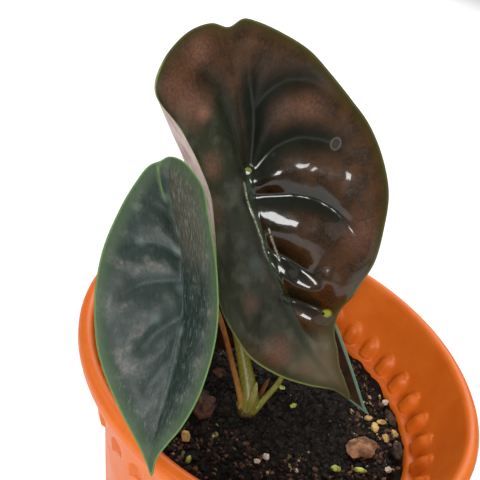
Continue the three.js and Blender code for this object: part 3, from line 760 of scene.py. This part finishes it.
def roughened(node, name, cuts, depth, size, seed):
    """A CAD node's own shape, merged, made finer and worn by depth mm in dents of size mm."""
    shape = bmesh.new()
    shape.from_mesh(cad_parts[node].data)
    bmesh.ops.remove_doubles(shape, verts=shape.verts, dist=0.001 * MM)
    bmesh.ops.recalc_face_normals(shape, faces=shape.faces)
    bmesh.ops.subdivide_edges(shape, edges=shape.edges, cuts=cuts, use_grid_fill=True, smooth=0.8)
    shape.normal_update()
    away = Vector((seed * 3.1, seed * 1.7, seed))
    moves = [v.normal * (noise.fractal(v.co / (size * MM) + away, 0.8, 2.2, 4) - 0.35) * depth * MM
             for v in shape.verts]
    for vertex, move in zip(shape.verts, moves):
        vertex.co += move
    mesh = bpy.data.meshes.new(name)
    shape.to_mesh(mesh)
    shape.free()
    mesh.shade_smooth()
    return new_object(name, mesh)


def make_loose_pieces():
    clay = crumb_material("rough_clay", "#1d100a", "#4f3324", 3.0)
    light = crumb_material("pale_pine_bark", "#5f402c", "#9c7352", 4.0)
    dark = crumb_material("dark_pine_bark", "#1f1611", "#4e3a2e", 3.0)
    husk = crumb_material("dry_husk", "#9a7c44", "#c9aa68", 2.0, 0.55)
    perlite = crumb_material("expanded_perlite", "#b5ab9a", "#e6ded0", 1.5)
    leafy = crumb_material("fresh_green_bits", "#7f8f36", "#b7c25e", 2.0, 0.45)
    finishes = [
        (("clay_ball",), clay, "clay", 3, 1.0, 3.0), (("clay_crumb",), clay, "clay", 4, 0.8, 2.2),
        (("bark_chip_light",), light, "bark", 3, 0.9, 3.4),
        (("bark_chip_dark_a", "bark_chip_dark_b"), dark, "bark_dark", 4, 0.6, 2.4),
        (tuple("grain_" + k for k in "abcde"), husk, "grain", 3, 0.22, 1.6),
        (("seed_case",), husk, "grain", 3, 0.12, 2.0),
        (tuple("perlite_" + k for k in "abcd"), perlite, "perlite", 3, 0.35, 0.9),
        (tuple("green_bit_" + k for k in "abcde"), leafy, "green", 3, 0.2, 1.5),
    ]
    seed = 0
    for names, finish, slot, cuts, depth, size in finishes:
        for node in names:
            seed += 1
            piece = roughened(node, node + "_worn", cuts, depth, size, seed)
            finish_piece(piece, finish, slot, node)


# Crown, stalks and sheaths

def stalk_skin(name, low_colour, high_colour, low_z, high_z, streak):
    """Living stalk: smooth, waxy and faintly translucent, with fine lengthwise streaks."""
    skin = start_material(name, high_colour, roughness=0.38, IOR=1.4, Subsurface_Weight=0.15,
                          Subsurface_Scale=1.5 * MM)
    height = add(skin.tree, "ShaderNodeSeparateXYZ", {}, {0: skin.place}).outputs[2]
    streaks = grain(skin, 0.8, stretch=(1, 1, 0.12))
    colour = paint(skin, low_colour, (high_colour, share_of(skin, height, low_z * MM, high_z * MM)),
                   (streak, share_of(skin, streaks, 0.4, 0.65, 0.0, 0.6)))
    return end_material(skin, streaks, 0.12, 0.5, Base_Color=colour)


def sweep_tree():
    """Makes a closed tube along a curve from the curve's own radius, with an oval section."""
    tree, start, end = new_tree("grow_stalk", {"Sides": "Int", "Flatness": "Float", "Finish": "Material"})
    value = start.outputs
    ring = add(tree, "GeometryNodeCurvePrimitiveCircle", {}, {
        "Resolution": value["Sides"], "Radius": 1.0})
    oval = add(tree, "ShaderNodeCombineXYZ", {}, {0: 1.0, 1: value["Flatness"], 2: 1.0})
    flat = add(tree, "GeometryNodeTransform", {}, {"Geometry": ring.outputs[0], "Scale": oval.outputs[0]})
    radius = add(tree, "GeometryNodeInputRadius", {}, {})
    tube = add(tree, "GeometryNodeCurveToMesh", {}, {
        "Curve": value["Geometry"], "Profile Curve": flat.outputs[0], "Scale": radius.outputs[0],
        "Fill Caps": True})
    smooth = add(tree, "GeometryNodeSetShadeSmooth", {}, {0: tube.outputs[0]})
    return end_tree(tree, start, end, smooth.outputs[0])


def grow(name, path, radius, tree, finish, sides=20, flatness=1.0, steps=64):
    """A tube through the points. radius gives its size in mm from its share of the way up."""
    line = smooth_curve(path, steps)
    curve = bpy.data.curves.new(name + "_line", "CURVE")
    curve.dimensions = "3D"
    spline = curve.splines.new("POLY")
    spline.points.add(steps - 1)
    for i, (point, target) in enumerate(zip(line, spline.points)):
        target.co = (*(point * MM), 1)
        target.radius = radius(i / (steps - 1)) * MM
    return run_tree(new_object(name + "_line", curve), tree, name, Sides=sides, Flatness=flatness,
                    Finish=finish)


def make_stalks():
    tree = sweep_tree()
    green = stalk_skin("olive_stalk_skin", "#6c6a24", "#76742a", 96, 118, "#53541e")
    tan = stalk_skin("tan_stalk_skin", "#94703a", "#8e6230", 94, 120, "#6a4a24")
    fresh = stalk_skin("green_stalk_skin", "#6a6c26", "#74762a", 94, 106, "#50521c")
    sheath = stalk_skin("pale_sheath", "#6f6c30", "#8d8a55", 95, 107, "#5c5a2a")
    dry = stalk_skin("dry_sheath", "#4c3018", "#744a28", 95, 107, "#3c2412")

    def flare(foot, top, spread):
        """Radius of a stalk from its foot to its top, with a spread at the very foot."""
        return lambda t: foot + (top - foot) * t + spread * math.exp(-t / 0.13)

    for name, (path, foot, top), leaf, finish, slot, spread in (
            ("stalk_big", STALK_BIG, BIG, green, "stalk", 2.3),
            ("stalk_small", STALK_SMALL, SMALL, tan, "stalk_tan", 0.3),
            ("stalk_back", STALK_BACK, BACK, fresh, "stalk", 0.3)):
        normal = blade_normal(leaf, np.zeros(1), np.zeros(1))[0]
        under = blade_point(leaf, np.zeros(1), np.zeros(1))[0] - 0.5 * normal
        piece = grow(name + "_skin", list(path) + [under - 3 * normal, under],
                     flare(foot + 0.1, top, spread), tree, finish)
        finish_piece(piece, None, slot, name)

    def blade_shape(widest):
        """Half width of a sheath that widens upward and closes at its tip."""
        return lambda t: widest * (0.75 + 0.6 * t) * (1 - t ** 3) + 0.12

    up = CROWN_TOP - 0.6
    new = [(-5.2, -14.9, up), (-5.3, -14.3, up + 6), (-6.2, -12.8, up + 13)]
    old = [(-2.9, -9.3, up), (-2.5, -8.9, up + 6), (-2, -8.4, up + 13)]
    finish_piece(grow("sheath_new_blade", new, blade_shape(1.3), tree, sheath, flatness=0.45),
                 None, "sheath", "sheath_new")
    finish_piece(grow("sheath_dry_blade", old, blade_shape(1.0), tree, dry, flatness=0.35),
                 None, "sheath_dry", "sheath_dry")


def make_crown():
    piece = roughened("crown", "crown_stub", 5, 0.5, 3.0, 40)
    skin = stalk_skin("crown_skin", "#352614", "#5d5826", 90, 94, "#2c2010")
    finish_piece(piece, skin, "crown", "crown")


# Leaves

def stations(leaf, along):
    """Smooth values between a leaf's stations at each distance along its midrib."""
    table = np.array(leaf["stations"], float)
    place = table[:, 0]
    at = np.clip(along, place[0], place[-1])
    i = np.clip(np.searchsorted(place, at, side="left") - 1, 0, len(place) - 2)
    step = place[i + 1] - place[i]
    t = ((at - place[i]) / step)[:, None]
    before, after = np.maximum(i - 1, 0), np.minimum(i + 2, len(place) - 1)
    y0, y1 = table[i, 1:], table[i + 1, 1:]
    m0 = (step / (place[i + 1] - place[before]))[:, None] * (y1 - table[before, 1:])
    m1 = (step / (place[after] - place[i]))[:, None] * (table[after, 1:] - y0)
    return (y0 * (1 + 2 * t) * (1 - t) ** 2 + m0 * t * (1 - t) ** 2
            + y1 * t * t * (3 - 2 * t) + m1 * t * t * (t - 1))


def blade_point(leaf, u, v):
    """Points of the blade's middle surface: u across from the midrib, v along to the tip."""
    along = unit(leaf["tip"])
    face = unit(leaf["face"])
    face = unit(face - along * (face @ along))
    across = np.cross(face, along)
    bow, dip, left0, left1, right0, right1, *curl = stations(leaf, v).T
    near = np.minimum(np.abs(u), CURL_FROM)
    start = np.radians(np.where(u < 0, left0, right0))
    turn = (np.radians(np.where(u < 0, left1, right1)) - start) / 40
    turn = np.where(np.abs(turn) < 1e-9, 1e-6, turn)
    middle = start + turn * near
    beyond = turn + (np.radians(curl[0]) * (u < 0) if curl else 0)
    end = middle + beyond * (np.abs(u) - near)
    out = np.sign(u) * ((np.sin(middle) - np.sin(start)) / turn
                        + (np.sin(end) - np.sin(middle)) / beyond)
    rise = (np.cos(start) - np.cos(middle)) / turn + (np.cos(middle) - np.cos(end)) / beyond
    return (np.array(leaf["at"], float) + v[:, None] * along + (bow + out)[:, None] * across
            + (dip + rise)[:, None] * face)


def blade_normal(leaf, u, v):
    step = 0.5
    du = blade_point(leaf, u + step, v) - blade_point(leaf, u - step, v)
    dv = blade_point(leaf, u, v + step) - blade_point(leaf, u, v - step)
    normal = np.cross(dv, du)
    return normal / np.linalg.norm(normal, axis=1)[:, None]


def blade_relief(leaf, flat, rim):
    """What the veins and the margin do at each flat point of a blade."""
    closed = np.vstack([rim, rim[:1]])
    edge = distance_to(flat, closed)[0]
    depth = np.zeros(len(flat))
    valley = np.zeros(len(flat))
    thread = np.zeros(len(flat))
    deepest = max(deep for route, deep, wide in leaf["veins"])
    for route, deep, wide in leaf["veins"]:
        d, share = distance_to(flat, smooth_curve(route, 40))
        fade = 1 - 0.95 * smoothstep(0.4, 1.0, share)
        near = fade * np.exp(0.15 - np.sqrt(d ** 2 + 0.5) / wide)
        # Fourth powers, whose root is taken below, let valleys run together softly
        depth += (deep * near) ** 4
        valley += (fade * (deep / deepest) ** 0.6 * np.exp(-(d / (leaf["dark"] * wide)) ** 2)) ** 4
        thread = np.maximum(thread, fade * np.exp(-(d / 0.4) ** 2))
    d, share = distance_to(flat, smooth_curve(leaf["midrib"], 80))
    fade = 1 - 0.85 * smoothstep(0.35, 0.9, share)
    groove = leaf["groove"] * fade
    depth = (depth + (groove * np.exp(-(d / 3.0) ** 2)) ** 4) ** 0.25
    valley = (valley + (fade * np.exp(-(d / 3.2) ** 2)) ** 4) ** 0.25
    rib = fade * np.exp(-(d / leaf["rib_width"]) ** 4)
    line = np.zeros(len(flat))
    for route in leaf["pale_lines"]:
        d, share = distance_to(flat, smooth_curve(route, 40))
        line = np.maximum(line, smoothstep(1.0, 0.8, share) * np.exp(-(d / 0.32) ** 2))
    return edge, depth, np.minimum(valley, 1), thread, rib, line


def make_blade(name, leaf, sides, rings, top, under, slot, node):
    """A thin closed blade with sunk veins, raised pillows and a rounded margin."""
    rim = smooth_curve(leaf["outline"], sides, closed=True) * leaf["inset"]
    shares = (np.arange(rings) + 1) / rings
    flat = np.vstack([np.zeros((1, 2)), (shares[:, None, None] * rim[None]).reshape(-1, 2)])
    u, v = flat.T

    def spread(key):
        """The leaf's value at each point, from a rule of u and v, a number or nothing."""
        rule = leaf.get(key, 0.0)
        return rule(u, v) if callable(rule) else np.full(len(u), rule)

    edge, depth, valley, thread, rib, line = blade_relief(leaf, flat, rim)
    inner = smoothstep(0, 6, edge)
    ripple = np.array([noise.fractal(Vector((a, b, leaf["seed"])) / 6.0, 0.9, 2.0, 2) for a, b in flat])
    raised = leaf["rib_height"] * rib * inner
    lift = inner * (spread("lift") - depth + 0.18 * ripple) + raised
    for (a, b), height, reach in leaf["bulges"]:
        lift += height * np.exp(-((u - a) ** 2 + (v - b) ** 2) / reach ** 2)
    lift += 0.07 * thread * inner + 0.3 * line * inner
    middle = blade_point(leaf, u, v)
    normal = blade_normal(leaf, u, v)
    # Thinner toward the margin, with the veins as ridges on the underside
    thick = BLADE_THICK * (0.45 + 0.55 * smoothstep(0, 4, edge))
    above = middle + normal * (lift + thick)[:, None]
    ridges = 0.9 * rib * inner + 0.35 * thread * inner
    below = middle + normal * (lift - raised - thick - ridges)[:, None]
    count = len(flat)
    last = count - sides
    out = middle[last:] - middle[last - sides:last]
    out /= np.linalg.norm(out, axis=1)[:, None]
    lip = (above[last:] + below[last:]) / 2 + 0.12 * out
    points = np.vstack([above, below, lip])
    faces = [(0, 1 + i, 1 + (i + 1) % sides) for i in range(sides)]
    for ring in range(rings - 1):
        faces += ring_faces(1 + ring * sides, 1 + (ring + 1) * sides, sides)
    top_count = len(faces)
    faces += [tuple(i + count for i in reversed(face)) for face in faces]
    faces += ring_faces(last, 2 * count, sides) + ring_faces(2 * count, count + last, sides)
    copies = np.concatenate([np.arange(count), np.arange(count), np.arange(last, count)])
    marks = {"edge": edge, "valley": valley, "thread": thread, "rib": rib, "line": line,
             # Painted sheen on the underside toward the upper left margin, where the curled blade catches
             # the light
             "bloom_below": smoothstep(28, 0, v) * smoothstep(-20, -30, u)}
    marks.update({key: spread(key) for key in ("bloom", "shade", "green", "gloss")})
    piece = new_mesh(name, points, faces, uv=flat[copies] / 100,
                     attributes={key: mark[copies] for key, mark in marks.items()})
    piece.data.materials.append(top)
    piece.data.materials.append(under)
    side = np.zeros(len(faces), np.int32)
    side[top_count:2 * top_count] = 1
    piece.data.polygons.foreach_set("material_index", side)
    turn_outward(piece)
    finish_piece(piece, None, slot, node)


def copper_blade():
    """Waxy living blade: bronze pillows between near-black green veins, whose dark is partly painted
    shade in the sunken valleys, with painted sheen, reflections and highlights. The upper part is
    dusty and satin, the lower part glossy as if wet."""
    skin = start_material("glossy_copper_blade", "#4a3226", roughness=0.3, flat=True, IOR=1.45,
                          Specular_IOR_Level=0.14, Coat_Weight=0.6, Coat_Roughness=0.07, Coat_IOR=1.5)
    soft = grain(skin, 9.0)
    fine = grain(skin, 1.1, detail=4, rough=0.7)
    green = share_of(skin, "green")
    gloss = share_of(skin, "gloss")
    # Fine noise that breaks up the pinkish patches of tint and painted sheen
    worn = share_of(skin, fine, 0.3, 0.6, 0.45, 1.0)
    # Green of the copper blade, with lighter patches of painted sheen
    leafy = paint(skin, "#2c3324", ("#4b5145", share_of(skin, soft, 0.45, 0.7)))
    margin = paint(skin, "#373310", ("#384128", green))
    # Pinkish patches: partly the blade's own copper tint, partly painted sheen
    patches = [("#855c4b", spot(skin, centre, 0, reach * 1.3, strength), worn)
               for centre, reach, strength in COPPER_TINT_AND_SHEEN_PATCHES]
    colour = paint(
        skin, "#27190a", ("#432a14", share_of(skin, soft, 0.35, 0.65)),
        # The green: partly the blade's own, partly painted reflection of pale light on the cupped left half
        # and near the tip
        ("#5c3c22", share_of(skin, fine, 0.45, 0.7, 0.0, 0.45)), (leafy, green),
        # A painted grey-olive reflection near the tip, then the pinkish patches of tint and painted sheen,
        # and painted shade
        ("#6b6752", spot(skin, (1, 82), 3, 22, 0.75)), *patches, ("#15150a", share_of(skin, "shade")),
        # Dark of the vein valleys: partly the veins' own near-black green, partly painted shade
        ("#0c1108", share_of(skin, "valley", 0.15, 0.95, 0.0, 0.93)),
        (margin, share_of(skin, "edge", 5.0, 0.5, 0.0, 0.7)), ("#1c2a14", share_of(skin, "rib")),
        ("#262e18", share_of(skin, "thread", 0.3, 1.0, 0.0, 0.5)),
        # The pale margin line: partly its own colour, painted brighter where the margin catches the light
        ("#7d8850", share_of(skin, "edge", 0.9, 0.3), share_of(skin, "bloom")),
        # Painted highlights: pale broken lines along the midrib's edges
        ("#a9a78f", share_of(skin, "line"), share_of(skin, fine, 0.38, 0.55)),
        # A painted highlight at the stalk's join, a dull bubble, a dried drop and a hole with a yellow rim
        ("#d5d3c4", spot(skin, (0, 0.2), 0.5, 0.5)), ("#4f5b55", spot(skin, (-6.5, 30.5), 0, 5.5, 0.6)),
        ("#626668", spot(skin, (33, 4), 1.9, 0.5, 0.5)), ("#352c22", spot(skin, (33, 4), 1.3, 0.5)),
        ("#8a962c", spot(skin, (10.3, 60.0), 0.9, 1.2)), ("#160a08", spot(skin, (9.0, 59.5), 0.45, 0.3)))
    return end_material(skin, fine, 0.16, 0.5, Base_Color=colour,
                        Roughness=share_of(skin, gloss, 0.0, 1.0, 0.5, 0.24),
                        Coat_Weight=share_of(skin, gloss, 0.0, 1.0, 0.0, 0.75))


def maroon_underside():
    """Matt maroon underside with paler raised veins, and a painted whitish sheen toward one margin, where
    the curled blade catches the light.
    """
    skin = start_material("maroon_underside", "#5e2a24", roughness=0.55, flat=True, IOR=1.4)
    soft = grain(skin, 6.0, detail=4)
    streaks = grain(skin, 1.5, stretch=(1, 0.15, 1))
    # Painted sheen: pinkish grey with fine streaks, laid toward the curled margin
    pale = paint(skin, "#b8a5a0", ("#8f7670", share_of(skin, streaks, 0.4, 0.7)))
    colour = paint(skin, "#4a1f1e", ("#6b302b", share_of(skin, soft, 0.25, 0.75)),
                   ("#7a6a3a", share_of(skin, "rib")),
                   ("#7d4a3c", share_of(skin, "thread", 0.2, 0.9, 0.0, 0.5)),
                   (pale, share_of(skin, "bloom_below")))
    return end_material(skin, soft, 0.2, 0.4, Base_Color=colour)


def dusty_blade():
    """Older blade with a satin, dusty skin: dark blue-green with greyed pillows and streaks."""
    skin = start_material("dusty_green_blade", "#2f423a", roughness=0.42, flat=True, IOR=1.45,
                          Specular_IOR_Level=0.35)
    soft = grain(skin, 8.0)
    fine = grain(skin, 1.2, detail=4, rough=0.65)
    streaks = grain(skin, 0.7, detail=5, rough=0.8, stretch=(1, 0.25, 1))
    speckled = paint(skin, "#56524c", ("#857b78", share_of(skin, fine, 0.4, 0.65)))
    olive = paint(skin, "#3f3e33", ("#545347", share_of(skin, streaks, 0.4, 0.65)))
    # Painted highlights: small pale teal spots
    waxy = [("#667a76", spot(skin, centre, 0, 2.2, 0.35)) for centre in PAINTED_HIGHLIGHT_SPOTS]
    colour = paint(
        skin, "#1a2923", ("#25342e", share_of(skin, soft, 0.35, 0.65)),
        (speckled, share_of(skin, "valley", 0.45, 0.05), share_of(skin, soft, 0.46, 0.7, 0.0, 0.55)),
        # Darker in the vein valleys: partly the veins' own colour, partly painted shade
        ("#1b2c28", share_of(skin, "valley", 0.5, 0.95)), (olive, share_of(skin, "green")),
        ("#8d978f", share_of(skin, streaks, 0.5, 0.72, 0.0, 0.5), share_of(skin, "bloom")), *waxy,
        ("#3d5236", share_of(skin, "edge", 5.0, 0.8, 0.0, 0.75)),
        ("#5b7a42", share_of(skin, "edge", 0.55, 0.2)), ("#5c7644", share_of(skin, "line")))
    return end_material(skin, fine, 0.12, 0.5, Base_Color=colour,
                        Roughness=share_of(skin, streaks, 0.4, 0.7, 0.42, 0.6))


def young_blade():
    """Upper face of the lowest blade: dull bronze green, with a pale blue-green margin that is partly its
    own colour and partly a painted reflection of light at grazing.
    """
    skin = start_material("young_bronze_blade", "#3c3a28", roughness=0.4, flat=True, IOR=1.45)
    soft = grain(skin, 6.0, detail=4)
    colour = paint(skin, "#34301f", ("#4a3a2a", share_of(skin, soft, 0.35, 0.65)),
                   # Darker in the vein valleys: partly the veins' own colour, partly painted shade
                   ("#1c2616", share_of(skin, "valley", 0.3, 0.9)),
                   # Pale blue-green margin: partly its own colour, partly a painted reflection of light at
                   # grazing
                   ("#7fa08a", share_of(skin, "edge", 1.2, 0.5)))
    return end_material(skin, soft, 0.15, 0.4, Base_Color=colour)


def young_underside():
    """Underside of the lowest blade: matt, dark brown maroon with a blue-green margin that is partly its
    own colour and partly a painted reflection of light at grazing.
    """
    skin = start_material("young_maroon_underside", "#3a2014", roughness=0.5, flat=True, IOR=1.4,
                          Specular_IOR_Level=0.3)
    soft = grain(skin, 5.0, detail=4)
    colour = paint(skin, "#1e120a", ("#332014", share_of(skin, soft, 0.35, 0.65)),
                   ("#5a4a28", share_of(skin, "rib")),
                   ("#7a4a36", share_of(skin, "thread", 0.2, 0.9, 0.0, 0.4)),
                   # Blue-green margin: partly its own colour, partly a painted reflection of light at
                   # grazing
                   ("#5f806d", share_of(skin, "edge", 1.2, 0.7), share_of(skin, "bloom")))
    return end_material(skin, soft, 0.2, 0.4, Base_Color=colour)


def make_leaves():
    """Where each blade is lifted, has dust streaks and painted sheen, has painted shade, is green and is
    glossy, then the blades themselves.
    """
    BIG["lift"] = lambda u, v: 1.0 - 1.1 * smoothstep(-22, -34, u)
    # Where the copper blade's margin line is painted brighter, as if catching the light
    BIG["bloom"] = lambda u, v: np.clip(
        smoothstep(30, 60, v) * smoothstep(0, -8, u)
        + smoothstep(-20, -30, u) * smoothstep(40, 20, v), 0.2, 1)
    # Green on the copper blade: partly its own, partly painted reflection, on the cupped left half and
    # toward the tip
    BIG["green"] = lambda u, v: np.maximum(
        0.85 * smoothstep(2, -6, u) * smoothstep(-36, -18, v),
        0.8 * smoothstep(58, 68, v) * smoothstep(-12, -2, u))
    BIG["shade"] = lambda u, v: (0.8 * smoothstep(24, 6, u) * smoothstep(0, 4, u)
                                 * smoothstep(-40, -20, v) * smoothstep(62, 40, v))
    BIG["gloss"] = lambda u, v: (smoothstep(-4, 2, v - 0.6 * np.maximum(u - 10, 0))
                                 * smoothstep(44, 34, u) * (0.4 + 0.6 * smoothstep(-4, 1, u)))
    # On the dusty blade this marks its pale dust streaks
    SMALL["bloom"] = lambda u, v: np.clip(smoothstep(-3, 2, u) + smoothstep(18, 40, v), 0.25, 1)
    SMALL["green"] = lambda u, v: smoothstep(-2.5, 2, u) * smoothstep(8, -8, v)
    # Where the lowest blade's margin gets its painted reflection of light
    BACK["bloom"] = lambda u, v: smoothstep(-12, -2, v)
    make_blade("copper_leaf", BIG, 340, 84, copper_blade(), maroon_underside(), "blade_big", "leaf_big")
    make_blade("dusty_leaf", SMALL, 260, 60, dusty_blade(), maroon_underside(), "blade_small",
               "leaf_small")
    make_blade("lowest_leaf", BACK, 220, 44, young_blade(), young_underside(), "blade_back",
               "leaf_back")


make_camera()
make_studio()
make_pot()
make_soil()
make_soil_bits()
make_loose_pieces()
make_crown()
make_stalks()
make_leaves()
